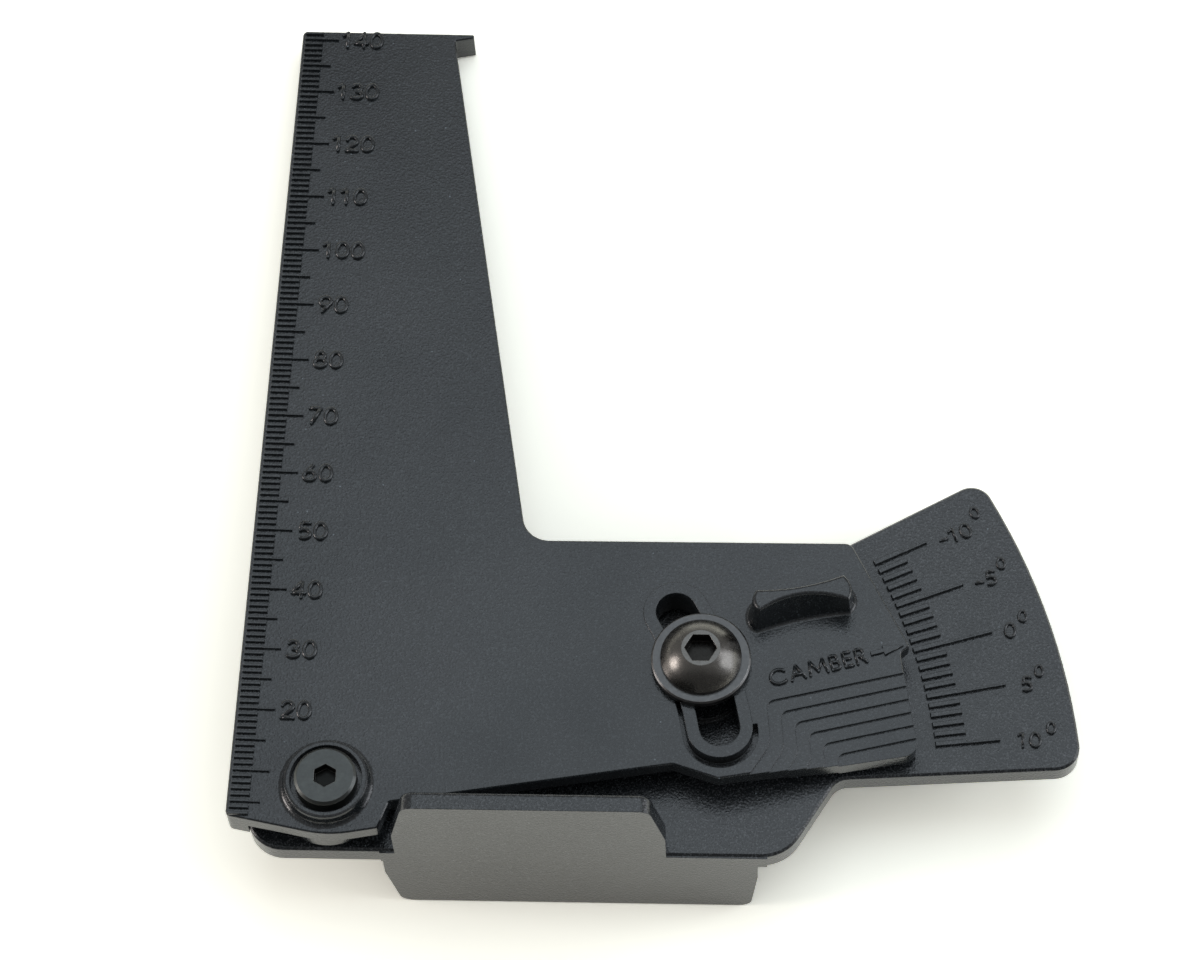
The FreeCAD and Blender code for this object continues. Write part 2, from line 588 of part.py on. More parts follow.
def pivot_screw():
    under = ARM_TOP_Z + COUNTERBORE_FLOOR
    top = under + PIVOT_HEAD_H
    edge = PIVOT_HEAD_CHAMFER
    body = turned(shank_profile(PIVOT_SHANK_R, PIVOT_NUT_H, under) + [
        line((PIVOT_SHANK_R, under), (PIVOT_HEAD_R, under)),
        line((PIVOT_HEAD_R, under), (PIVOT_HEAD_R, top - edge)),
        line((PIVOT_HEAD_R, top - edge), (PIVOT_HEAD_R - edge, top)),
        line((PIVOT_HEAD_R - edge, top), (0, top)),
        line((0, top), (0, shank_tip(PIVOT_NUT_H))),
    ])
    return body.cut(hexagon(PIVOT_HEX_AF, top - PIVOT_HEX_DEPTH, top + 1, turn=30))


def washer_base():
    return ARM_TOP_Z + COLLAR_PROUD + WASHER_GAP


def lock_screw():
    centre = lock_place()
    under = washer_base() + WASHER_T
    foot = math.asin(LOCK_HEAD_R / LOCK_DOME_R)
    crown = math.asin(LOCK_TOP_R / LOCK_DOME_R)
    dome_z = under + LOCK_HEAD_RIM - LOCK_DOME_R * math.cos(foot)

    def on_dome(angle):
        return (LOCK_DOME_R * math.sin(angle), dome_z + LOCK_DOME_R * math.cos(angle))

    top = on_dome(crown)[1]
    body = turned(shank_profile(LOCK_SHANK_R, LOCK_NUT_H, under) + [
        line((LOCK_SHANK_R, under), (LOCK_HEAD_R, under)),
        line((LOCK_HEAD_R, under), on_dome(foot)),
        bend(on_dome(foot), on_dome((foot + crown) / 2), on_dome(crown)),
        line(on_dome(crown), (0, top)),
        line((0, top), (0, shank_tip(LOCK_NUT_H))),
    ], centre)
    return body.cut(hexagon(LOCK_HEX_AF, top - LOCK_HEX_DEPTH, top + 1, centre))


def lock_washer():
    centre = lock_place()
    z = washer_base()
    ring = disc(WASHER_R, z, z + WASHER_T, centre).cut(
        disc(LOCK_SHANK_R + SCREW_CLEARANCE, z - 1, z + WASHER_T + 1, centre))
    rims = edges_at(ring, z + WASHER_T, lambda e: e.Curve.Radius > LOCK_HEAD_R)
    return ring.makeChamfer(WASHER_CHAMFER, rims)


def nut(across_flats, height, shank_r, centre):
    top = -PLATE_T + POCKET_SINK
    body = hexagon(across_flats, top - height, top, centre)
    corner = across_flats / math.sqrt(3)
    chamfer = corner - across_flats / 2
    envelope = turned([
        line((0, top - height), (across_flats / 2, top - height)),
        line((across_flats / 2, top - height), (corner, top - height + chamfer * 0.6)),
        line((corner, top - height + chamfer * 0.6), (corner, top)),
        line((corner, top), (0, top)),
        line((0, top), (0, top - height))], centre)
    body = body.common(envelope)
    return body.cut(disc(shank_r + NUT_BORE_CLEARANCE, top - height - 1, top + 1, centre))


def main():
    os.makedirs("parts", exist_ok=True)
    nodes = {
        "base_plate": base_plate(),
        "measuring_arm": measuring_arm(),
        "pivot_screw": pivot_screw(),
        "pivot_nut": nut(PIVOT_NUT_AF, PIVOT_NUT_H, PIVOT_SHANK_R, V(0, 0, 0)),
        "lock_screw": lock_screw(),
        "lock_washer": lock_washer(),
        "lock_nut": nut(LOCK_NUT_AF, LOCK_NUT_H, LOCK_SHANK_R, lock_place()),
    }
    for name, shape in lay_down(nodes).items():
        print(name, "solids", len(shape.Solids), "valid", shape.isValid(), "volume", round(shape.Volume, 1))
        shape.exportStep("parts/%s.step" % name)


main()
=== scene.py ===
"""Finishes, moulded markings, table and light for a hand-held camber gauge.

The gauge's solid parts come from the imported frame.  This file adds what is moulded on
them in relief (ruler, degree scale, word and pointer), the screws' threads, and every
surface finish.  Pieces are drawn in millimetres and laid into the frame in metres.
"""
from __future__ import annotations

import json
import logging
import math
from collections.abc import Callable, Sequence
from dataclasses import dataclass, field, replace
from enum import Enum

import bmesh
import bpy
from mathutils import Euler, Matrix, Vector


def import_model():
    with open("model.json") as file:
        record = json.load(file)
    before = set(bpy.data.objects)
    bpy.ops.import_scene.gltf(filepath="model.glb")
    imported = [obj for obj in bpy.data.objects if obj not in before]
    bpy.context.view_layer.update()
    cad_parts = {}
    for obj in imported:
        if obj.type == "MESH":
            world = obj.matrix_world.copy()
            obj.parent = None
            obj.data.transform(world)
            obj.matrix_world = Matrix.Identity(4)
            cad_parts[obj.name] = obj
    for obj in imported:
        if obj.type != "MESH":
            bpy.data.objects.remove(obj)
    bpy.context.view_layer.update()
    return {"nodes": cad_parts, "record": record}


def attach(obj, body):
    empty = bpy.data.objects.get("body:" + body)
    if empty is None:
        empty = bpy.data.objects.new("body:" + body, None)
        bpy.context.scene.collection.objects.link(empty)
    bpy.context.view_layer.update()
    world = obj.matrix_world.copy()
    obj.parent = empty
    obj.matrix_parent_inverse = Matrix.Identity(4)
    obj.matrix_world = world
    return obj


log = logging.getLogger("camber_gauge")

MM = 0.001
WELD = 0.0005  # points of a drawn piece that are closer than this are one point
Point = tuple[float, float]


# ---- small helpers -----------------------------------------------------------------------
def linear(code: str) -> tuple[float, float, float, float]:
    """Linear colour of an sRGB hex value such as '#8a8f92'."""
    parts = [int(code[i:i + 2], 16) / 255 for i in (1, 3, 5)]
    return (*(c / 12.92 if c <= 0.04045 else ((c + 0.055) / 1.055) ** 2.4 for c in parts), 1.0)


def add_node(tree: bpy.types.NodeTree, kind: str, settings: dict[str, object] | None = None,
             inputs: dict[str | int, object] | None = None) -> bpy.types.Node:
    """Add a shader node with its settings and its inputs.

    Args:
        tree: Node tree of the material or the world.
        kind: Blender's name of the node type.
        settings: Node properties by name.
        inputs: Sockets by name or number; an output socket is linked, a value is set.

    Returns:
        The new node.
    """
    node = tree.nodes.new(kind)
    for name, value in (settings or {}).items():
        setattr(node, name, value)
    for name, value in (inputs or {}).items():
        if isinstance(value, bpy.types.NodeSocket):
            tree.links.new(value, node.inputs[name])
        else:
            node.inputs[name].default_value = value
    return node


def hold_only(piece: bpy.types.Object) -> None:
    """Leave one object selected, and make it the active one."""
    bpy.ops.object.select_all(action="DESELECT")
    piece.select_set(True)
    bpy.context.view_layer.objects.active = piece


def pick_faces(piece: bpy.types.Object, keep: Callable[[Vector, Vector], bool]) -> None:
    """Select faces of the piece in edit mode.

    Args:
        piece: Object that is open in edit mode.
        keep: Test on a face's centre and normal.
    """
    bpy.ops.mesh.select_mode(type="FACE")
    bpy.ops.mesh.select_all(action="DESELECT")
    mesh = bmesh.from_edit_mesh(piece.data)
    for face in mesh.faces:
        face.select_set(keep(face.calc_center_median(), face.normal))
    mesh.select_flush_mode()
    bmesh.update_edit_mesh(piece.data)


def lay_in(piece: bpy.types.Object, place: Matrix) -> bpy.types.Object:
    """Lay a piece at its place, and leave its object at the origin.

    Args:
        piece: Object as it was drawn.
        place: Matrix from the drawing to its place.

    Returns:
        The same object, with the place in its mesh.
    """
    hold_only(piece)
    piece.matrix_world = place @ piece.matrix_world
    bpy.ops.object.transform_apply(location=True, rotation=True, scale=True)
    return piece


def copy_of(piece: bpy.types.Object, place: Matrix) -> bpy.types.Object:
    """Copy a piece with its own mesh, and lay the copy at its place."""
    twin = piece.copy()
    twin.data = piece.data.copy()
    bpy.context.scene.collection.objects.link(twin)
    return lay_in(twin, place)


def join_as(name: str, pieces: Sequence[bpy.types.Object]) -> bpy.types.Object:
    """Join pieces into one object with a name."""
    bpy.ops.object.select_all(action="DESELECT")
    for piece in pieces:
        piece.select_set(True)
    bpy.context.view_layer.objects.active = pieces[0]
    if len(pieces) > 1:
        bpy.ops.object.join()
    pieces[0].name = pieces[0].data.name = name
    return pieces[0]


def drop(*pieces: bpy.types.Object) -> None:
    """Remove patterns that were only there to be copied."""
    for piece in pieces:
        bpy.data.objects.remove(piece, do_unlink=True)


def dress(piece: bpy.types.Object, material: bpy.types.Material) -> None:
    """Give every material slot of a piece one finish."""
    if not piece.material_slots:
        piece.data.materials.append(material)
    for slot in piece.material_slots:
        slot.material = material


def face_outwards(weld: float = 0.0) -> None:
    """Turn the active mesh's faces outwards, after merging points closer than the weld."""
    bpy.ops.object.mode_set(mode="EDIT")
    bpy.ops.mesh.select_all(action="SELECT")
    if weld:
        bpy.ops.mesh.remove_doubles(threshold=weld)
    bpy.ops.mesh.normals_make_consistent(inside=False)
    bpy.ops.object.mode_set(mode="OBJECT")


def poly_curve(name: str, points: Sequence[Point], closed: bool = True) -> bpy.types.Object:
    """Draw a flat curve with straight lines between its points.

    Args:
        name: Name of the curve.
        points: Corners of the curve, in millimetres.
        closed: Whether the last point runs on to the first.

    Returns:
        The curve as an object.
    """
    curve = bpy.data.curves.new(name, "CURVE")
    curve.dimensions = "2D"
    spline = curve.splines.new("POLY")
    spline.points.add(len(points) - 1)
    for point, (x, y) in zip(spline.points, points):
        point.co = (x, y, 0, 1)
    spline.use_cyclic_u = closed
    drawn = bpy.data.objects.new(name, curve)
    bpy.context.scene.collection.objects.link(drawn)
    return drawn


def as_mesh(curve: bpy.types.Object) -> bpy.types.Object:
    """Turn a curve that has thickness into a closed mesh."""
    hold_only(curve)
    bpy.ops.object.convert(target="MESH")
    face_outwards(WELD)
    return bpy.context.object


def joint_of(record: dict, name: str) -> dict:
    """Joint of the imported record, by its name."""
    return next(joint for joint in record["behaviour"]["joints"] if joint["name"] == name)


class Body(Enum):
    """Bodies of the gauge that pieces ride on."""

    BASE = "base"
    ARM = "arm"
    LOCK = "lock"


@dataclass(frozen=True)
class PlateFrame:
    """Plane that the gauge is drawn in: pivot axis, along the foot, up the ruler edge."""

    matrix: Matrix

    @classmethod
    def of(cls, record: dict) -> PlateFrame:
        """Plane of the base plate's top face, from the arm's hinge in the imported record."""
        hinge = joint_of(record, "arm_pivot")
        out = Vector(hinge["axis"]).normalized()
        along = Vector((1, 0, 0))
        up = out.cross(along)
        turn = Matrix((along, up, out)).transposed().to_4x4()
        return cls(Matrix.Translation(hinge["pos_m"]) @ turn @ Matrix.Scale(MM, 4))

    def turned(self, degrees: float, height: float = 0.0) -> PlateFrame:
        """Plane turned about the pivot axis and raised above the base plate."""
        turn = Matrix.Rotation(math.radians(degrees), 4, "Z")
        return PlateFrame(self.matrix @ turn @ Matrix.Translation((0, 0, height)))

    def place(self, x: float, y: float, degrees: float = 0.0, height: float = 0.0) -> Matrix:
        """Matrix that lays a drawing at a point of the plane, turned by an angle."""
        turn = Matrix.Rotation(math.radians(degrees), 4, "Z")
        return self.matrix @ Matrix.Translation((x, y, height)) @ turn


# ---- finishes ----------------------------------------------------------------------------
def start_finish(name: str) -> tuple[bpy.types.Material, bpy.types.NodeTree, bpy.types.Node]:
    """New material, with its node tree and its shader."""
    made = bpy.data.materials.new(name)
    made.use_nodes = True
    return made, made.node_tree, made.node_tree.nodes["Principled BSDF"]


def in_mm(tree: bpy.types.NodeTree) -> bpy.types.NodeSocket:
    """Object coordinates scaled to millimetres."""
    where = add_node(tree, "ShaderNodeTexCoord")
    return add_node(tree, "ShaderNodeMapping", {}, {
        "Vector": where.outputs["Object"], "Scale": (1 / MM, 1 / MM, 1 / MM)}).outputs["Vector"]


def eased_edges(tree: bpy.types.NodeTree, radius_mm: float) -> tuple[bpy.types.NodeSocket,
                                                                     bpy.types.NodeSocket]:
    """Round the look of every edge, and find the edge, where wear and painted highlight are laid.

    Args:
        tree: Node tree of the material.
        radius_mm: Radius of the eased edge.

    Returns:
        The rounded normal, and a mask that is 1 on the edge itself.
    """
    bevel = add_node(tree, "ShaderNodeBevel", {"samples": 6}, {"Radius": radius_mm * MM})
    true = add_node(tree, "ShaderNodeNewGeometry")
    turn = add_node(tree, "ShaderNodeVectorMath", {"operation": "DOT_PRODUCT"}, {
        0: bevel.outputs["Normal"], 1: true.outputs["Normal"]})
    mask = add_node(tree, "ShaderNodeMapRange", {}, {
        "Value": turn.outputs["Value"], "From Min": 0.985, "From Max": 0.76,
        "To Min": 0.0, "To Max": 1.0})
    return bevel.outputs["Normal"], mask.outputs["Result"]


@dataclass(frozen=True)
class MouldedAbs:
    """Black ABS from a spark-eroded mould: near-black, and satin from a fine raised grain.

    The grain's peaks are painted paler, partly as rubbing and partly as painted glints for
    the light they catch as small points; sparse pale dots are painted glints as well; the
    edges are painted a little paler, partly as wear and partly as painted highlight; and the
    sheen is broad and soft.
    """

    name: str
    colour: str
    # colour of the grain's peaks: partly rubbing, partly painted glints
    peak: str
    # pale colour of dots and edges: painted glints and highlights, partly wear
    worn: str
    roughness: float
    grain_mm: float
    grain_height: float
    peaks: float
    ease_mm: float = 0.17
    patch_mm: float = 28.0
    # spacing of the painted glint dots
    lint_mm: float = 3.4
    # share of pale on the edges: partly wear, partly painted highlight
    edge_rub: float = 0.08
    ior: float = 1.53

    def crisp(self) -> MouldedAbs:
        """The same plastic on small relief, whose edges are cut sharper in the mould."""
        return replace(self, name=self.name + "_relief", ease_mm=0.05, grain_height=0.015)

    def material(self) -> bpy.types.Material:
        """Build the finish on object coordinates, scaled to millimetres."""
        made, tree, shader = start_finish(self.name)
        spot = in_mm(tree)
        edge_normal, edge = eased_edges(tree, self.ease_mm)
        grain = add_node(tree, "ShaderNodeTexNoise", {}, {
            "Vector": spot, "Scale": 1 / self.grain_mm, "Detail": 2.0, "Roughness": 0.6})
        pits = add_node(tree, "ShaderNodeTexVoronoi", {"feature": "F1"}, {
            "Vector": spot, "Scale": 0.75 / self.grain_mm, "Randomness": 1.0})
        relief = add_node(tree, "ShaderNodeMath", {"operation": "MULTIPLY_ADD"}, {
            0: pits.outputs["Distance"], 1: -0.55, 2: grain.outputs["Fac"]})
        bump = add_node(tree, "ShaderNodeBump", {}, {
            "Height": relief.outputs["Value"], "Strength": 1.0,
            "Distance": self.grain_height * MM, "Normal": edge_normal})

        # handling polishes broad patches of the grain, a few centimetres across
        rubbed = add_node(tree, "ShaderNodeTexNoise", {}, {
            "Vector": spot, "Scale": 1 / self.patch_mm, "Detail": 2.0, "Roughness": 0.5})
        sheen = add_node(tree, "ShaderNodeMapRange", {}, {
            "Value": rubbed.outputs["Fac"], "From Min": 0.3, "From Max": 0.7,
            "To Min": self.roughness - 0.05, "To Max": self.roughness + 0.05})
        gloss = add_node(tree, "ShaderNodeMapRange", {}, {
            "Value": rubbed.outputs["Fac"], "From Min": 0.35, "From Max": 0.65,
            "To Min": 0.44, "To Max": 0.56})
        # the grain's peaks get a paler colour, partly rubbing and partly painted glints, and less
        # roughness
        peak = add_node(tree, "ShaderNodeMapRange", {}, {
            "Value": grain.outputs["Fac"], "From Min": 0.5, "From Max": 0.7,
            "To Min": 0.0, "To Max": self.peaks})
        rough = add_node(tree, "ShaderNodeMath", {"operation": "MULTIPLY_ADD"}, {
            0: peak.outputs["Result"], 1: -0.12, 2: sheen.outputs["Result"]})

        # small, sparse pale dots, a few to the square centimetre: painted glints on the grain
        glint_cells = add_node(tree, "ShaderNodeTexVoronoi", {"feature": "F1"}, {
            "Vector": spot, "Scale": 1 / self.lint_mm, "Randomness": 1.0})
        glint_dots = add_node(tree, "ShaderNodeMapRange", {}, {
            "Value": glint_cells.outputs["Distance"], "From Min": 0.02, "From Max": 0.05,
            "To Min": 0.5, "To Max": 0.0})
        # edges are painted paler: partly wear, partly painted highlight
        pale_edge = add_node(tree, "ShaderNodeMath", {"operation": "MULTIPLY"}, {
            0: edge, 1: self.edge_rub})
        bare = add_node(tree, "ShaderNodeMath", {"operation": "MAXIMUM"}, {
            0: glint_dots.outputs["Result"], 1: pale_edge.outputs["Value"]})
        skin = add_node(tree, "ShaderNodeMix", {"data_type": "RGBA"}, {
            0: peak.outputs["Result"], 6: linear(self.colour), 7: linear(self.peak)})
        tone = add_node(tree, "ShaderNodeMix", {"data_type": "RGBA"}, {
            0: bare.outputs["Value"], 6: skin.outputs[2], 7: linear(self.worn)})
        tree.links.new(tone.outputs[2], shader.inputs["Base Color"])
        tree.links.new(rough.outputs["Value"], shader.inputs["Roughness"])
        tree.links.new(gloss.outputs["Result"], shader.inputs["Specular IOR Level"])
        tree.links.new(bump.outputs["Normal"], shader.inputs["Normal"])
        shader.inputs["IOR"].default_value = self.ior
        return made


@dataclass(frozen=True)
class Socket:
    """Key socket in a screw's head: the circle round it, and the height of its mouth.

    Shade is painted inside it: darkest from its depth below the mouth down, fading out over a rim.
    """

    radius: float
    mouth: float
    depth: float = 0.9
    fade: float = 0.1


@dataclass(frozen=True)
class BlackOxideSteel:
    """Alloy steel screw, turned and chemically blackened: dark metal with a brownish sheen."""

    name: str
    colour: str
    rubbed: str
    roughness: float
    turning_mm: float
    # share of pale on the edges: partly wear, partly painted highlight
    edge_wear: float = 0.5
    socket: Socket | None = None
    ease_mm: float = 0.12
    # colour of the painted shade in the key socket
    soot: str = "#0c0b0a"
    # pale edge colour: partly steel showing through wear, partly painted highlight
    bare: str = "#b9b6b2"

    def sooty(self, tree: bpy.types.NodeTree, spot: bpy.types.NodeSocket,
              tone: bpy.types.NodeSocket) -> bpy.types.NodeSocket:
        """Paint shade inside the key socket, darkest towards its bottom, where the deep recess is
        in shade.

        Args:
            tree: Node tree of the material.
            spot: Position in millimetres, with the screw's axis along Z.
            tone: Colour of the open surface.

        Returns:
            The colour with the dark socket.
        """
        parts = add_node(tree, "ShaderNodeSeparateXYZ", {}, {0: spot})
        across = add_node(tree, "ShaderNodeCombineXYZ", {}, {
            "X": parts.outputs["X"], "Y": parts.outputs["Y"]})
        away = add_node(tree, "ShaderNodeVectorMath", {"operation": "LENGTH"}, {
            0: across.outputs["Vector"]})
        inside = add_node(tree, "ShaderNodeMapRange", {}, {
            "Value": away.outputs["Value"], "From Min": self.socket.radius,
            "From Max": self.socket.radius + self.socket.fade, "To Min": 1.0, "To Max": 0.0})
        depth = add_node(tree, "ShaderNodeMapRange", {}, {
            "Value": parts.outputs["Z"], "From Min": self.socket.mouth - self.socket.depth,
            "From Max": self.socket.mouth - self.socket.fade, "To Min": 0.85, "To Max": 0.0})
        # painted shade in the socket
        dark = add_node(tree, "ShaderNodeMath", {"operation": "MULTIPLY"}, {
            0: inside.outputs["Result"], 1: depth.outputs["Result"]})
        return add_node(tree, "ShaderNodeMix", {"data_type": "RGBA"}, {
            0: dark.outputs["Value"], 6: tone, 7: linear(self.soot)}).outputs[2]

    def material(self, axis: Matrix) -> bpy.types.Material:
        """Build the finish round a screw.

        Args:
            axis: Matrix whose origin and Z are the screw's axis, in metres.

        Returns:
            The material, with turning marks in rings round that axis.
        """
        made, tree, shader = start_finish(self.name)
        where = add_node(tree, "ShaderNodeTexCoord")
        place = axis.to_translation()
        tilt = axis.to_quaternion().to_euler()
        centred = add_node(tree, "ShaderNodeMapping", {"vector_type": "TEXTURE"}, {
            "Vector": where.outputs["Object"], "Location": place, "Rotation": tilt,
            "Scale": (MM, MM, MM)})
        spot = centred.outputs["Vector"]
        # turning marks are some 0.05 mm apart; they are drawn coarser, as they would not show
        rings = add_node(tree, "ShaderNodeTexWave", {
            "wave_type": "RINGS", "rings_direction": "Z", "wave_profile": "SIN"}, {
            "Vector": spot, "Scale": 0.31 / self.turning_mm, "Distortion": 0.6,
            "Detail": 2.0, "Detail Scale": 0.4})
        scale = add_node(tree, "ShaderNodeTexNoise", {}, {
            "Vector": spot, "Scale": 2.2, "Detail": 4.0, "Roughness": 0.6})
        edge_normal, edge = eased_edges(tree, self.ease_mm)
        relief = add_node(tree, "ShaderNodeMath", {"operation": "MULTIPLY_ADD"}, {
            0: rings.outputs["Fac"], 1: 0.25, 2: scale.outputs["Fac"]})
        bump = add_node(tree, "ShaderNodeBump", {}, {
            "Height": relief.outputs["Value"], "Strength": 0.6, "Distance": 0.012 * MM,
            "Normal": edge_normal})
        rough = add_node(tree, "ShaderNodeMapRange", {}, {
            "Value": scale.outputs["Fac"], "From Min": 0.3, "From Max": 0.7,
            "To Min": self.roughness - 0.06, "To Max": self.roughness + 0.08})
        rubbed = add_node(tree, "ShaderNodeTexNoise", {}, {
            "Vector": spot, "Scale": 0.6, "Detail": 5.0, "Roughness": 0.65})
        thin = add_node(tree, "ShaderNodeMapRange", {}, {
            "Value": rubbed.outputs["Fac"], "From Min": 0.5, "From Max": 0.75,
            "To Min": 0.0, "To Max": 0.35})
        tone = add_node(tree, "ShaderNodeMix", {"data_type": "RGBA"}, {
            0: thin.outputs["Result"], 6: linear(self.colour), 7: linear(self.rubbed)})
        # the edges are painted pale: partly wear through the oxide to the steel, partly painted
        # highlight
        edge_pale_share = add_node(tree, "ShaderNodeMath", {"operation": "MULTIPLY"}, {
            0: edge, 1: self.edge_wear})
        shown = self.sooty(tree, spot, tone.outputs[2]) if self.socket else tone.outputs[2]
        tone = add_node(tree, "ShaderNodeMix", {"data_type": "RGBA"}, {
            0: edge_pale_share.outputs["Value"], 6: shown, 7: linear(self.bare)})
        tree.links.new(tone.outputs[2], shader.inputs["Base Color"])
        tree.links.new(rough.outputs["Result"], shader.inputs["Roughness"])
        tree.links.new(bump.outputs["Normal"], shader.inputs["Normal"])
        shader.inputs["Metallic"].default_value = 1.0
        return made


@dataclass(frozen=True)
class ZincPlatedSteel:
    """Hexagon nut, cold-formed and zinc plated: pale grey metal with a faintly cloudy film."""

    name: str
    colour: str
    cloud: str
    roughness: float

    def material(self) -> bpy.types.Material:
        """Build the finish on object coordinates, scaled to millimetres."""
        made, tree, shader = start_finish(self.name)
        spot = in_mm(tree)
        film = add_node(tree, "ShaderNodeTexNoise", {}, {
            "Vector": spot, "Scale": 0.8, "Detail": 4.0, "Roughness": 0.6})
        fine = add_node(tree, "ShaderNodeTexNoise", {}, {
            "Vector": spot, "Scale": 5.0, "Detail": 2.0, "Roughness": 0.5})
        rough = add_node(tree, "ShaderNodeMapRange", {}, {
            "Value": film.outputs["Fac"], "From Min": 0.3, "From Max": 0.7,
            "To Min": self.roughness - 0.08, "To Max": self.roughness + 0.1})
        tone = add_node(tree, "ShaderNodeMix", {"data_type": "RGBA"}, {
            0: film.outputs["Fac"], 6: linear(self.colour), 7: linear(self.cloud)})
        bump = add_node(tree, "ShaderNodeBump", {}, {
            "Height": fine.outputs["Fac"], "Strength": 0.4, "Distance": 0.01 * MM})
        tree.links.new(tone.outputs[2], shader.inputs["Base Color"])
        tree.links.new(rough.outputs["Result"], shader.inputs["Roughness"])
        tree.links.new(bump.outputs["Normal"], shader.inputs["Normal"])
        shader.inputs["Metallic"].default_value = 1.0
        return made


# ---- relief ------------------------------------------------------------------------------
@dataclass(frozen=True)
class ReliefBar:
    """A raised bar of a scale: upright ends, drafted sides and an eased top."""

    length: float
    width: float
    height: float
    sunk: float = 0.1
    draft: float = 0.05
    ease: float = 0.05

    def build(self) -> bpy.types.Object:
        """Draw the bar along X from the origin, with its top at its height."""
        bpy.ops.object.select_all(action="DESELECT")
        tall = self.height + self.sunk
        bpy.ops.mesh.primitive_cube_add(
            size=1, location=(self.length / 2, 0, self.height - tall / 2),
            scale=(self.length, self.width, tall))
        bar = bpy.context.object
        bpy.ops.object.transform_apply(location=True, rotation=True, scale=True)
        bpy.ops.object.mode_set(mode="EDIT")
        pick_faces(bar, lambda centre, normal: normal.z > 0.9)
        shrink = ((self.length - 2 * self.draft) / self.length,
                  (self.width - 2 * self.draft) / self.width, 1)
        bpy.ops.transform.resize(value=shrink, center_override=(self.length / 2, 0, self.height))
        bpy.ops.mesh.bevel(offset=self.ease, segments=1, affect="EDGES")
        bpy.ops.object.mode_set(mode="OBJECT")
        return bar


def bow(cx: float, cy: float, rx: float, ry: float, start: float, end: float,
        steps: int = 12) -> list[Point]:
    """Points along a bow of an ellipse, between two angles in degrees."""
    turns = [math.radians(start + (end - start) * i / steps) for i in range(steps + 1)]
    return [(cx + rx * math.cos(a), cy + ry * math.sin(a)) for a in turns]


@dataclass(frozen=True)
class Stroke:
    """One line of a numeral or letter, drawn down its middle."""

    points: Sequence[Point]
    closed: bool = False

    def runs(self, sharp: float = 50.0) -> list[Stroke]:
        """Split the stroke at its sharp corners.

        Args:
            sharp: Smallest turn in degrees that is a corner.

        Returns:
            Smooth runs, in order; a closed stroke stays whole.
        """
        if self.closed:
            return [self]
        cuts = [0]
        for i in range(1, len(self.points) - 1):
            into = Vector(self.points[i]) - Vector(self.points[i - 1])
            away = Vector(self.points[i + 1]) - Vector(self.points[i])
            if into.angle(away) > math.radians(sharp):
                cuts.append(i)
        cuts.append(len(self.points) - 1)
        return [Stroke(self.points[a:b + 1]) for a, b in zip(cuts, cuts[1:])]


def ring(cx: float, cy: float, rx: float, ry: float) -> Stroke:
    """A closed oval stroke."""
    return Stroke(bow(cx, cy, rx, ry, 90, 450, 24)[:-1], closed=True)


@dataclass(frozen=True)
class Glyph:
    """A numeral or letter, in units of the height between its outermost stroke middles."""

    width: float
    strokes: Sequence[Stroke]
    after: float = 0.25


FIGURE = 0.68  # width of a numeral
SIGN_HEIGHT = 0.46  # height of the minus sign's stroke
GLYPHS: dict[str, Glyph] = {
    "0": Glyph(FIGURE, [ring(0.34, 0.5, 0.34, 0.5)]),
    "1": Glyph(0.29, [Stroke([(0, 0.84), (0.29, 1), (0.29, 0)])], after=0.5),
    "2": Glyph(FIGURE, [Stroke(bow(0.33, 0.7, 0.31, 0.3, 168, -32) + [(0, 0), (0.68, 0)])]),
    "3": Glyph(FIGURE, [Stroke(bow(0.32, 0.75, 0.28, 0.25, 152, -90)
                               + bow(0.32, 0.25, 0.35, 0.25, 90, -152)[1:])]),
    "4": Glyph(FIGURE, [Stroke([(0.5, 0), (0.5, 1), (-0.04, 0.27), (0.7, 0.27)])]),
    "5": Glyph(FIGURE, [Stroke([(0.62, 1), (0.16, 1), (0.1, 0.52)]
                               + bow(0.32, 0.29, 0.36, 0.29, 120, -120)[1:])]),
    "6": Glyph(FIGURE, [Stroke([(0.5, 1), (0.07, 0.45)]), ring(0.34, 0.29, 0.34, 0.29)]),
    "7": Glyph(FIGURE, [Stroke([(0, 1), (0.66, 1), (0.16, 0)])]),
    "8": Glyph(FIGURE, [ring(0.34, 0.77, 0.25, 0.23), ring(0.34, 0.27, 0.34, 0.27)]),
    "9": Glyph(FIGURE, [Stroke([(0.18, 0), (0.61, 0.55)]), ring(0.34, 0.71, 0.34, 0.29)]),
    "-": Glyph(0.5, [Stroke([(0, SIGN_HEIGHT), (0.5, SIGN_HEIGHT)])]),
    "C": Glyph(1.0, [Stroke(bow(0.57, 0.5, 0.57, 0.5, 42, 318, 20))]),
    "A": Glyph(0.92, [Stroke([(0, 0), (0.46, 1), (0.92, 0)]),
                      Stroke([(0.16, 0.34), (0.76, 0.34)])]),
    "M": Glyph(1.18, [Stroke([(0, 0), (0.16, 1), (0.59, 0.2), (1.02, 1), (1.18, 0)])]),
    "B": Glyph(0.55, [Stroke([(0, 0), (0, 1), (0.24, 1)] + bow(0.24, 0.77, 0.23, 0.23, 90, -90)[1:]
                             + [(0, 0.54)]),
                      Stroke([(0.24, 0.54)] + bow(0.28, 0.27, 0.27, 0.27, 90, -90) + [(0, 0)])]),
    "E": Glyph(0.5, [Stroke([(0.5, 1), (0, 1), (0, 0), (0.5, 0)]),
                     Stroke([(0, 0.53), (0.46, 0.53)])]),
    "R": Glyph(0.6, [Stroke([(0, 0), (0, 1), (0.26, 1)] + bow(0.26, 0.75, 0.25, 0.25, 90, -90)[1:]
                            + [(0, 0.5)]),
                     Stroke([(0.24, 0.5), (0.6, 0)])]),
}


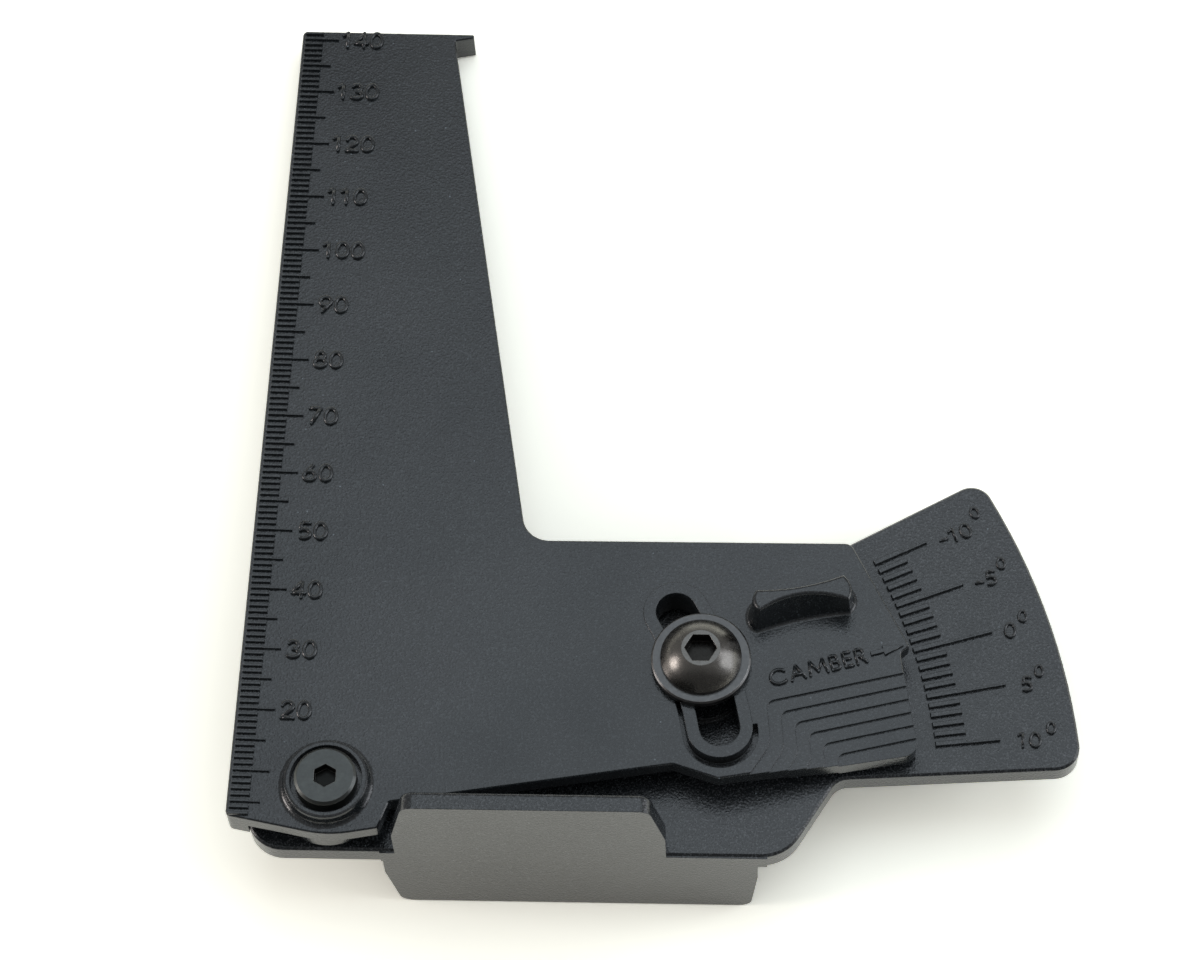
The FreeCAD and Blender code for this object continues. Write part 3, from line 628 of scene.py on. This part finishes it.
@dataclass(frozen=True)
class ReliefText:
    """Raised monoline numerals and letters, with flat tops and drafted sides."""

    height: float
    stroke: float
    proud: float
    sunk: float = 0.1
    draft: float = 0.06
    step: float = 0.003

    @property
    def reach(self) -> float:
        """Height between the outermost stroke middles."""
        return self.height - self.stroke

    def section(self) -> bpy.types.Object:
        """Draw the strokes' cross-section as a closed curve."""
        half, top = self.stroke / 2, self.stroke / 2 - self.draft
        return poly_curve("stroke_section", [
            (-half, -self.sunk), (half, -self.sunk), (top, self.proud), (-top, self.proud)])

    def peg(self) -> bpy.types.Object:
        """Draw the drafted round that ends a stroke, as a round-nosed cutter leaves it."""
        bpy.ops.object.select_all(action="DESELECT")
        bpy.ops.mesh.primitive_cone_add(
            vertices=16, radius1=self.stroke / 2, radius2=self.stroke / 2 - self.draft,
            depth=self.proud + self.sunk, location=(0, 0, (self.proud - self.sunk) / 2))
        peg = bpy.context.object
        bpy.ops.object.transform_apply(location=True, rotation=True, scale=True)
        return peg

    def sweep(self, stroke: Stroke, origin: Point, rank: int,
              section: bpy.types.Object) -> bpy.types.Object:
        """Sweep one smooth run of a stroke.

        Args:
            stroke: The run to sweep, in glyph units.
            origin: Lower left corner of its glyph, in millimetres.
            rank: Each next piece of a glyph stands a hair prouder, so no two tops are one plane.
            section: Cross-section curve.

        Returns:
            A closed mesh.
        """
        drawn = poly_curve("stroke", [(origin[0] + x * self.reach, origin[1] + y * self.reach)
                                      for x, y in stroke.points], stroke.closed)
        drawn.data.fill_mode = "NONE"
        drawn.data.bevel_mode = "OBJECT"
        drawn.data.bevel_object = section
        drawn.data.use_fill_caps = not stroke.closed
        piece = as_mesh(drawn)
        low = min(vertex.co.z for vertex in piece.data.vertices)
        high = max(vertex.co.z for vertex in piece.data.vertices)
        # the section can come out upside down, and its sunk foot is the shorter side
        if abs(low) > abs(high):
            lay_in(piece, Matrix.Diagonal((1, 1, -1, 1)))
            face_outwards()
        return lay_in(piece, Matrix.Translation((0, 0, rank * self.step)))

    def build(self, text: str, gap: float | None = None) -> list[bpy.types.Object]:
        """Draw a line of text from the origin, on its lower stroke middles.

        Args:
            text: Numerals or letters that have a glyph.
            gap: Space after each glyph in millimetres, or none for the glyph's own.

        Returns:
            The strokes as closed meshes.
        """
        section, peg = self.section(), self.peg()
        pieces, x = [], 0.0
        for letter in text:
            glyph = GLYPHS[letter]
            rank = 0
            for stroke in glyph.strokes:
                for run in stroke.runs():
                    pieces.append(self.sweep(run, (x, 0.0), rank, section))
                    rank += 1
                    if run.closed:
                        continue
                    for u, v in (run.points[0], run.points[-1]):
                        spot = (x + u * self.reach, v * self.reach, rank * self.step)
                        pieces.append(copy_of(peg, Matrix.Translation(spot)))
                        rank += 1
            x += glyph.width * self.reach + (glyph.after * self.reach if gap is None else gap)
        drop(section, peg)
        return pieces


# ---- markings on the arm -------------------------------------------------------------------
@dataclass
class RulerScale:
    """Millimetre ruler along the arm's long edge, read from the sole upwards."""

    plane: PlateFrame
    finish: bpy.types.Material
    sole_y: float = -8.0
    first: int = 3
    last: int = 141
    left_x: float = -14.15
    short_end: float = -11.2
    five_end: float = -9.65
    ten_end: float = -8.65
    bar_width: float = 0.5
    tail_width: float = 0.28
    tail_overlap: float = 0.2
    tail_ease: float = 0.03
    tail_step: float = 0.01
    bar_shift: float = -0.03
    height: float = 0.45
    first_numeral: int = 20
    numeral_x: float = -8.2
    short_indent: float = 0.2
    numeral_drop: float = 0.17
    text: ReliefText = field(default_factory=lambda: ReliefText(3.22, 0.58, 0.45))

    def marks(self) -> bpy.types.Object:
        """Draw the bars: one for each millimetre, with tails at the fives and tens."""
        bar = ReliefBar(self.short_end - self.left_x, self.bar_width, self.height).build()
        tails = {
            step: ReliefBar(end - self.short_end + self.tail_overlap, self.tail_width,
                            self.height - self.tail_step, draft=self.tail_ease,
                            ease=self.tail_ease).build()
            for step, end in ((5, self.five_end), (10, self.ten_end))}
        lower = self.bar_shift - self.bar_width / 2
        pieces = []
        for mark in range(self.first, self.last + 1):
            y = self.sole_y + mark
            pieces.append(copy_of(bar, self.plane.place(self.left_x, y + self.bar_shift)))
            step = 10 if mark % 10 == 0 else 5 if mark % 5 == 0 else 0
            if step:
                tail_y = y + lower + self.tail_width / 2
                tail_x = self.short_end - self.tail_overlap
                pieces.append(copy_of(tails[step], self.plane.place(tail_x, tail_y)))
        drop(bar, *tails.values())
        return join_as("ruler_marks", pieces)

    def numbers(self) -> bpy.types.Object:
        """Draw the numerals beside the tens, from the first that has one."""
        pieces = []
        half = self.text.stroke / 2
        for mark in range(self.first_numeral, self.last, 10):
            base = self.sole_y + mark - self.numeral_drop - self.text.reach / 2
            left = self.numeral_x + half + (self.short_indent if mark < 100 else 0.0)
            for stroke in self.text.build(str(mark)):
                pieces.append(lay_in(stroke, self.plane.place(left, base)))
        return join_as("ruler_numbers", pieces)

    def build(self) -> list[bpy.types.Object]:
        """Build the ruler and let it ride on the arm."""
        pieces = [self.marks(), self.numbers()]
        for piece in pieces:
            dress(piece, self.finish)
            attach(piece, Body.ARM.value)
        return pieces


@dataclass
class PointerLegend:
    """The word that names the angle, and the arrow from it to the arm's reading corner."""

    plane: PlateFrame
    finish: bpy.types.Material
    word: str = "CAMBER"
    origin: Point = (65.09, 18.06)
    slope: float = 17.4
    gap: float = 0.74
    text: ReliefText = field(default_factory=lambda: ReliefText(2.78, 0.48, 0.42))
    arrow_start: Point = (79.6, 23.72)
    arrow_neck: float = 1.95
    arrow_tip: float = 4.85
    arrow_slope: float = 17.8
    arrow_shaft: float = 0.5
    arrow_head: float = 1.5
    arrow_half: float = 0.2
    arrow_ease: float = 0.05
    arrow_lift: float = 0.15

    def letters(self) -> bpy.types.Object:
        """Draw the word along its slope."""
        place = self.plane.place(*self.origin, self.slope)
        return join_as("camber_word", [lay_in(stroke, place)
                                       for stroke in self.text.build(self.word, self.gap)])

    def arrow(self) -> bpy.types.Object:
        """Draw the arrow as a filled outline with eased edges."""
        half, head, neck = self.arrow_shaft / 2, self.arrow_head / 2, self.arrow_neck
        drawn = poly_curve("pointer_arrow", [
            (0, -half), (neck, -half), (neck, -head), (self.arrow_tip, 0),
            (neck, head), (neck, half), (0, half)])
        drawn.data.fill_mode = "BOTH"
        drawn.data.extrude = self.arrow_half
        drawn.data.bevel_depth = self.arrow_ease
        drawn.data.bevel_resolution = 0
        place = self.plane.place(*self.arrow_start, self.arrow_slope, self.arrow_lift)
        return join_as("pointer_arrow", [lay_in(as_mesh(drawn), place)])

    def build(self) -> list[bpy.types.Object]:
        """Build the word and the arrow, and let them ride on the arm."""
        pieces = [self.letters(), self.arrow()]
        for piece in pieces:
            dress(piece, self.finish)
            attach(piece, Body.ARM.value)
        return pieces


# ---- markings on the base ------------------------------------------------------------------
SCALE_END = 10  # the scale runs to this many degrees either way


@dataclass(frozen=True)
class DegreeLabel:
    """One label of the degree scale: what it says, and where its pieces stand."""

    text: str
    at: Point
    ring_at: Point
    turn: float = 0.0
    sign_at: Point | None = None


@dataclass
class DegreeScale:
    """Fan of bars from -10 to +10 degrees, with a numeral at every fifth."""

    plane: PlateFrame
    finish: bpy.types.Material
    zero: float = 16.7
    end: int = SCALE_END
    inner_r: float = 90.24
    short_r: float = 95.07
    long_r: dict[int, float] = field(default_factory=lambda: {
        -10: 99.1, -5: 101.2, 0: 102.65, 5: 102.35, 10: 100.0})
    bar_width: float = 0.85
    bar_draft: float = 0.07
    bar_ease: float = 0.06
    tail_width: float = 0.4
    tail_overlap: float = 0.3
    tail_step: float = 0.01
    height: float = 0.55
    text: ReliefText = field(default_factory=lambda: ReliefText(2.65, 0.44, 0.45))
    degree: ReliefText = field(default_factory=lambda: ReliefText(2.15, 0.42, 0.42))
    labels: Sequence[DegreeLabel] = (
        DegreeLabel("10", (93.8, 46.1), (96.0, 49.55), 22.0, (91.3, 44.85)),
        DegreeLabel("5", (98.3, 38.4), (99.9, 40.9), 8.0, (96.65, 37.6)),
        DegreeLabel("0", (101.1, 29.6), (103.0, 32.0)),
        DegreeLabel("5", (103.4, 20.7), (105.3, 22.9)),
        DegreeLabel("10", (103.65, 11.53), (106.9, 13.55)),
    )

    def marks(self) -> bpy.types.Object:
        """Draw the bars: a short one for each degree, with a long tail at every fifth."""
        bar = ReliefBar(self.short_r - self.inner_r, self.bar_width, self.height,
                        draft=self.bar_draft, ease=self.bar_ease).build()
        pieces = []
        for degrees in range(-self.end, self.end + 1):
            ray = self.plane.turned(self.zero - degrees)
            pieces.append(copy_of(bar, ray.place(self.inner_r, 0)))
            if degrees in self.long_r:
                tail = ReliefBar(self.long_r[degrees] - self.short_r + self.tail_overlap,
                                 self.tail_width, self.height - self.tail_step).build()
                low = (self.tail_width - self.bar_width) / 2
                pieces.append(lay_in(tail, ray.place(self.short_r - self.tail_overlap, low)))
        drop(bar)
        return join_as("degree_marks", pieces)

    def centred(self, text: ReliefText, words: str, at: Point, turn: float,
                middle: Point) -> list[bpy.types.Object]:
        """Draw a line of text round a point of the plane.

        Args:
            text: Style of the numerals.
            words: What the line says.
            at: Point that the line's middle stands on.
            turn: Angle of the line.
            middle: Its middle from its lower left corner, in glyph units.

        Returns:
            The strokes as closed meshes.
        """
        shift = Matrix.Translation((-middle[0] * text.reach, -middle[1] * text.reach, 0))
        place = self.plane.place(*at, turn) @ shift
        return [lay_in(stroke, place) for stroke in text.build(words)]

    def label(self, label: DegreeLabel) -> list[bpy.types.Object]:
        """Draw one label: its numerals, its sign and the degree ring."""
        wide = sum(GLYPHS[c].width for c in label.text)
        wide += sum(GLYPHS[c].after for c in label.text[:-1])
        pieces = self.centred(self.text, label.text, label.at, label.turn, (wide / 2, 0.5))
        if label.sign_at:
            pieces += self.centred(self.text, "-", label.sign_at, label.turn,
                                   (GLYPHS["-"].width / 2, SIGN_HEIGHT))
        return pieces + self.centred(self.degree, "0", label.ring_at, label.turn,
                                     (FIGURE / 2, 0.5))

    def build(self) -> list[bpy.types.Object]:
        """Build the scale and let it ride on the base."""
        labels = [piece for item in self.labels for piece in self.label(item)]
        numbers = join_as("degree_numbers", labels)
        pieces = [self.marks(), numbers]
        for piece in pieces:
            dress(piece, self.finish)
            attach(piece, Body.BASE.value)
        return pieces


# ---- table, light and camera -----------------------------------------------------------------
@dataclass(frozen=True)
class Softbox:
    """A square or oblong lamp that faces a point on the table."""

    name: str
    at: tuple[float, float, float]
    aim: tuple[float, float, float]
    size: tuple[float, float]
    watts: float
    colour: str = "#ffffff"

    def build(self) -> bpy.types.Object:
        """Add the lamp."""
        data = bpy.data.lights.new(self.name, "AREA")
        data.shape = "RECTANGLE"
        data.size, data.size_y = self.size
        data.energy = self.watts
        data.color = linear(self.colour)[:3]
        lamp = bpy.data.objects.new(self.name, data)
        bpy.context.scene.collection.objects.link(lamp)
        lamp.location = self.at
        ray = Vector(self.aim) - Vector(self.at)
        lamp.rotation_euler = ray.to_track_quat("-Z", "Y").to_euler()
        return lamp


@dataclass
class Studio:
    """Pale table, soft lamps, plain surroundings and the camera."""

    plane: PlateFrame
    table_size: float = 2.4
    table_colour: str = "#f4f3e8"
    table_seen: float = 1.8
    surround: float = 0.5
    bright_side: float = 0.42
    dark_side: float = 0.14
    lamps: Sequence[Softbox] = (
        Softbox("overhead_softbox", (0.22, 0.6, 1.2), (0.22, 0.6, 0), (1.2, 1.05), 5.1, "#e3f1fc"),
        Softbox("left_softbox", (-1.05, -0.06, 0.38), (0, 0, 0), (0.4, 0.4), 4.6, "#fff6f2"),
        Softbox("right_softbox", (1.0, 0.08, 0.42), (0, 0, 0), (0.7, 0.7), 4.6, "#f4f8ff"),
    )
    # the camera is held to the base plate, so it keeps its view of the gauge
    camera_at: tuple[float, float, float] = (65.478, -228.934, 532.789)
    camera_turn: tuple[float, float, float] = (28.0669, 1.9698, 1.7797)
    camera_lens: float = 117.1248

    def table(self) -> bpy.types.Object:
        """Add the table top: white to the eye where the lamps reach it, darker in the shadow."""
        bpy.ops.object.select_all(action="DESELECT")
        bpy.ops.mesh.primitive_plane_add(size=self.table_size)
        top = bpy.context.object
        top.name = "table_top"
        made, tree, shader = start_finish("matt_laminate")
        tree.nodes.remove(shader)
        lit = add_node(tree, "ShaderNodeBsdfDiffuse", {}, {"Color": linear(self.table_colour)})
        bright = [self.table_seen * part for part in linear(self.table_colour)[:3]]
        shown = add_node(tree, "ShaderNodeBsdfDiffuse", {}, {"Color": (*bright, 1.0)})
        path = add_node(tree, "ShaderNodeLightPath")
        seen = add_node(tree, "ShaderNodeMath", {"operation": "MAXIMUM"}, {
            0: path.outputs["Is Camera Ray"], 1: path.outputs["Is Glossy Ray"]})
        seen = add_node(tree, "ShaderNodeMath", {"operation": "MAXIMUM"}, {
            0: seen.outputs["Value"], 1: path.outputs["Is Transmission Ray"]})
        both = add_node(tree, "ShaderNodeMixShader", {}, {
            0: seen.outputs["Value"], 1: lit.outputs["BSDF"], 2: shown.outputs["BSDF"]})
        tree.links.new(both.outputs["Shader"], tree.nodes["Material Output"].inputs["Surface"])
        dress(top, made)
        return top

    def surroundings(self) -> None:
        """White to the eye, pale behind the gauge, and dark low down behind the camera."""
        world = bpy.data.worlds.new("white_room")
        bpy.context.scene.world = world
        world.use_nodes = True
        tree = world.node_tree
        back = tree.nodes["Background"]
        back.inputs["Color"].default_value = (1, 1, 1, 1)
        where = add_node(tree, "ShaderNodeTexCoord")
        front = add_node(tree, "ShaderNodeVectorMath", {"operation": "DOT_PRODUCT"}, {
            0: where.outputs["Generated"], 1: (0.0, -1.0, 0.0)})
        room = add_node(tree, "ShaderNodeMapRange", {"interpolation_type": "SMOOTHSTEP"}, {
            "Value": front.outputs["Value"], "From Min": 0.2, "From Max": 0.7,
            "To Min": self.bright_side, "To Max": self.dark_side})
        seen = add_node(tree, "ShaderNodeLightPath")
        light = add_node(tree, "ShaderNodeMapRange", {}, {
            "Value": seen.outputs["Is Glossy Ray"], "To Min": self.surround,
            "To Max": room.outputs["Result"]})
        white = add_node(tree, "ShaderNodeMath", {"operation": "MAXIMUM"}, {
            0: seen.outputs["Is Camera Ray"], 1: seen.outputs["Is Transmission Ray"]})
        level = add_node(tree, "ShaderNodeMath", {"operation": "MAXIMUM"}, {
            0: light.outputs["Result"], 1: white.outputs["Value"]})
        tree.links.new(level.outputs["Value"], back.inputs["Strength"])

    def camera(self) -> bpy.types.Object:
        """Add the camera and make it the scene's own."""
        data = bpy.data.cameras.new("camera")
        data.sensor_width = 36.0
        data.lens = self.camera_lens
        data.clip_start = 0.01
        data.clip_end = 20.0
        eye = bpy.data.objects.new("camera", data)
        bpy.context.scene.collection.objects.link(eye)
        eye.location = self.plane.matrix @ Vector(self.camera_at)
        turn = Euler([math.radians(a) for a in self.camera_turn]).to_quaternion()
        eye.rotation_euler = (self.plane.matrix.to_quaternion() @ turn).to_euler()
        bpy.context.scene.camera = eye
        return eye

    def build(self) -> list[bpy.types.Object]:
        """Set up everything round the gauge."""
        bpy.context.scene.view_settings.view_transform = "Standard"
        self.surroundings()
        return [self.table(), self.camera(), *(lamp.build() for lamp in self.lamps)]


# ---- the gauge ---------------------------------------------------------------------------------
@dataclass(frozen=True)
class ScrewThread:
    """Thread on a screw's tip, where it stands out of its nut: one ridge wound round the core."""

    name: str
    crest: float
    core: float
    nut_face: float
    pitch: float = 0.8
    turns: float = 1.05
    steps: int = 50
    sunk: float = 0.05
    inside: float = 0.24
    root_share: float = 0.86
    crest_share: float = 0.15

    def build(self, axis: Matrix, finish: bpy.types.Material, slot: str,
              body: Body) -> bpy.types.Object:
        """Wind the ridge right-handed down the tip, from inside the nut.

        Args:
            axis: Matrix whose origin and Z are the screw's axis.
            finish: The screw's own finish.
            slot: Not used.
            body: Body that the screw belongs to.

        Returns:
            A closed mesh.
        """
        deep = self.crest - self.core + self.sunk
        middle, start = self.crest - deep / 2, self.nut_face + self.inside
        bpy.ops.object.select_all(action="DESELECT")
        bpy.ops.mesh.primitive_plane_add(size=1, location=(middle, 0, start),
                                         rotation=(math.pi / 2, 0, 0),
                                         scale=(deep, self.pitch * self.root_share, 1))
        ridge = bpy.context.object
        bpy.ops.object.transform_apply(location=True, rotation=True, scale=True)
        bpy.ops.object.mode_set(mode="EDIT")
        bpy.ops.mesh.select_mode(type="VERT")
        bpy.ops.mesh.select_all(action="DESELECT")
        mesh = bmesh.from_edit_mesh(ridge.data)
        for vertex in mesh.verts:
            vertex.select_set(vertex.co.x > middle)
        mesh.select_flush_mode()
        bmesh.update_edit_mesh(ridge.data)
        bpy.ops.transform.resize(value=(1, 1, self.crest_share),
                                 center_override=(self.crest, 0, start))
        bpy.ops.object.mode_set(mode="OBJECT")
        bpy.ops.object.modifier_add(type="SCREW")
        wind = ridge.modifiers[-1]
        wind.axis = "Z"
        wind.angle = -2 * math.pi * self.turns
        wind.screw_offset = -self.pitch * self.turns
        wind.steps = wind.render_steps = self.steps
        bpy.ops.object.modifier_apply(modifier=wind.name)
        bpy.ops.object.mode_set(mode="EDIT")
        bpy.ops.mesh.select_all(action="SELECT")
        bpy.ops.mesh.fill_holes(sides=0)
        bpy.ops.object.mode_set(mode="OBJECT")
        face_outwards()
        ridge = join_as(self.name, [lay_in(ridge, axis)])
        dress(ridge, finish)
        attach(ridge, body.value)
        return ridge


@dataclass
class GaugeParts:
    """Finishes of the gauge's solid parts, which come with the frame."""

    nodes: dict[str, bpy.types.Object]
    plane: PlateFrame
    lock_axis: Matrix
    threads: list[bpy.types.Object] = field(default_factory=list)
    base_finish: MouldedAbs = MouldedAbs(
        "black_abs_base", "#15181a", "#46494c", "#76828a",
        roughness=0.22, grain_mm=0.3, grain_height=0.04, peaks=0.75)
    arm_finish: MouldedAbs = MouldedAbs(
        "black_abs_arm", "#16191b", "#34393c", "#76828a",
        roughness=0.21, grain_mm=0.32, grain_height=0.03, peaks=0.65)
    pivot_finish: BlackOxideSteel = BlackOxideSteel(
        "black_oxide_pivot_screw", "#4c4e4d", "#606360",
        roughness=0.34, turning_mm=0.16, edge_wear=0.3, socket=Socket(1.9, 9.6))
    lock_finish: BlackOxideSteel = BlackOxideSteel(
        "black_oxide_lock_screw", "#62605d", "#76736f",
        roughness=0.27, turning_mm=0.16, edge_wear=0.12, socket=Socket(2.5, 11.19))
    # the washer's rim is painted pale all round: partly wear, partly painted highlight
    washer_finish: BlackOxideSteel = BlackOxideSteel(
        "black_oxide_washer", "#595959", "#6e6d6b", roughness=0.33, turning_mm=0.2, edge_wear=0.9)
    nut_finish: ZincPlatedSteel = ZincPlatedSteel(
        "zinc_plated_nut", "#b4b7ba", "#9a9ea3", roughness=0.34)
    pivot_thread: ScrewThread = ScrewThread("pivot_thread", crest=2.5, core=2.1, nut_face=-6.5)
    lock_thread: ScrewThread = ScrewThread("lock_thread", crest=2.75, core=2.35, nut_face=-7.0)

    def build(self) -> dict[str, bpy.types.Material]:
        """Make each finish and give it to its parts.

        Returns:
            The two plastics as they look on small relief, by the part that it is moulded on.
        """
        base, arm = self.base_finish.material(), self.arm_finish.material()
        nut = self.nut_finish.material()
        pivot = self.pivot_finish.material(self.plane.matrix)
        lock = self.lock_finish.material(self.lock_axis)
        finishes = {
            "base_plate": base,
            "measuring_arm": arm,
            "pivot_screw": pivot,
            "lock_screw": lock,
            "lock_washer": self.washer_finish.material(self.lock_axis),
            "pivot_nut": nut,
            "lock_nut": nut,
        }
        for name, finish in finishes.items():
            dress(self.nodes[name], finish)
        self.threads = [
            self.pivot_thread.build(self.plane.matrix, pivot, "pivot_steel", Body.BASE),
            self.lock_thread.build(self.lock_axis, lock, "lock_steel", Body.LOCK)]
        return {"base": self.base_finish.crisp().material(),
                "arm": self.arm_finish.crisp().material()}


def axis_of(record: dict, joint: str, like: Matrix) -> Matrix:
    """Matrix with its origin on a joint's axis, turned like another one."""
    moved = like.copy()
    moved.translation = Vector(joint_of(record, joint)["pos_m"])
    return moved


ARM_RISE = 6.2  # from the base plate's top face up to the arm's


def main() -> None:
    """Dress the gauge, mark it, and set up the table, the light and the camera."""
    logging.basicConfig(level=logging.INFO, format="%(name)s: %(message)s")
    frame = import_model()
    record = frame["record"]
    plane = PlateFrame.of(record)
    Studio(plane).build()
    reading = SCALE_END + joint_of(record, "arm_pivot")["range_deg"][0]
    arm_top = plane.turned(-reading, ARM_RISE)
    parts = GaugeParts(frame["nodes"], plane, axis_of(record, "lock_turn", plane.matrix))
    plastics = parts.build()
    pieces = list(parts.threads)
    pieces += RulerScale(arm_top, plastics["arm"]).build()
    pieces += PointerLegend(arm_top, plastics["arm"]).build()
    pieces += DegreeScale(plane, plastics["base"]).build()


if __name__ == "__main__":
    main()
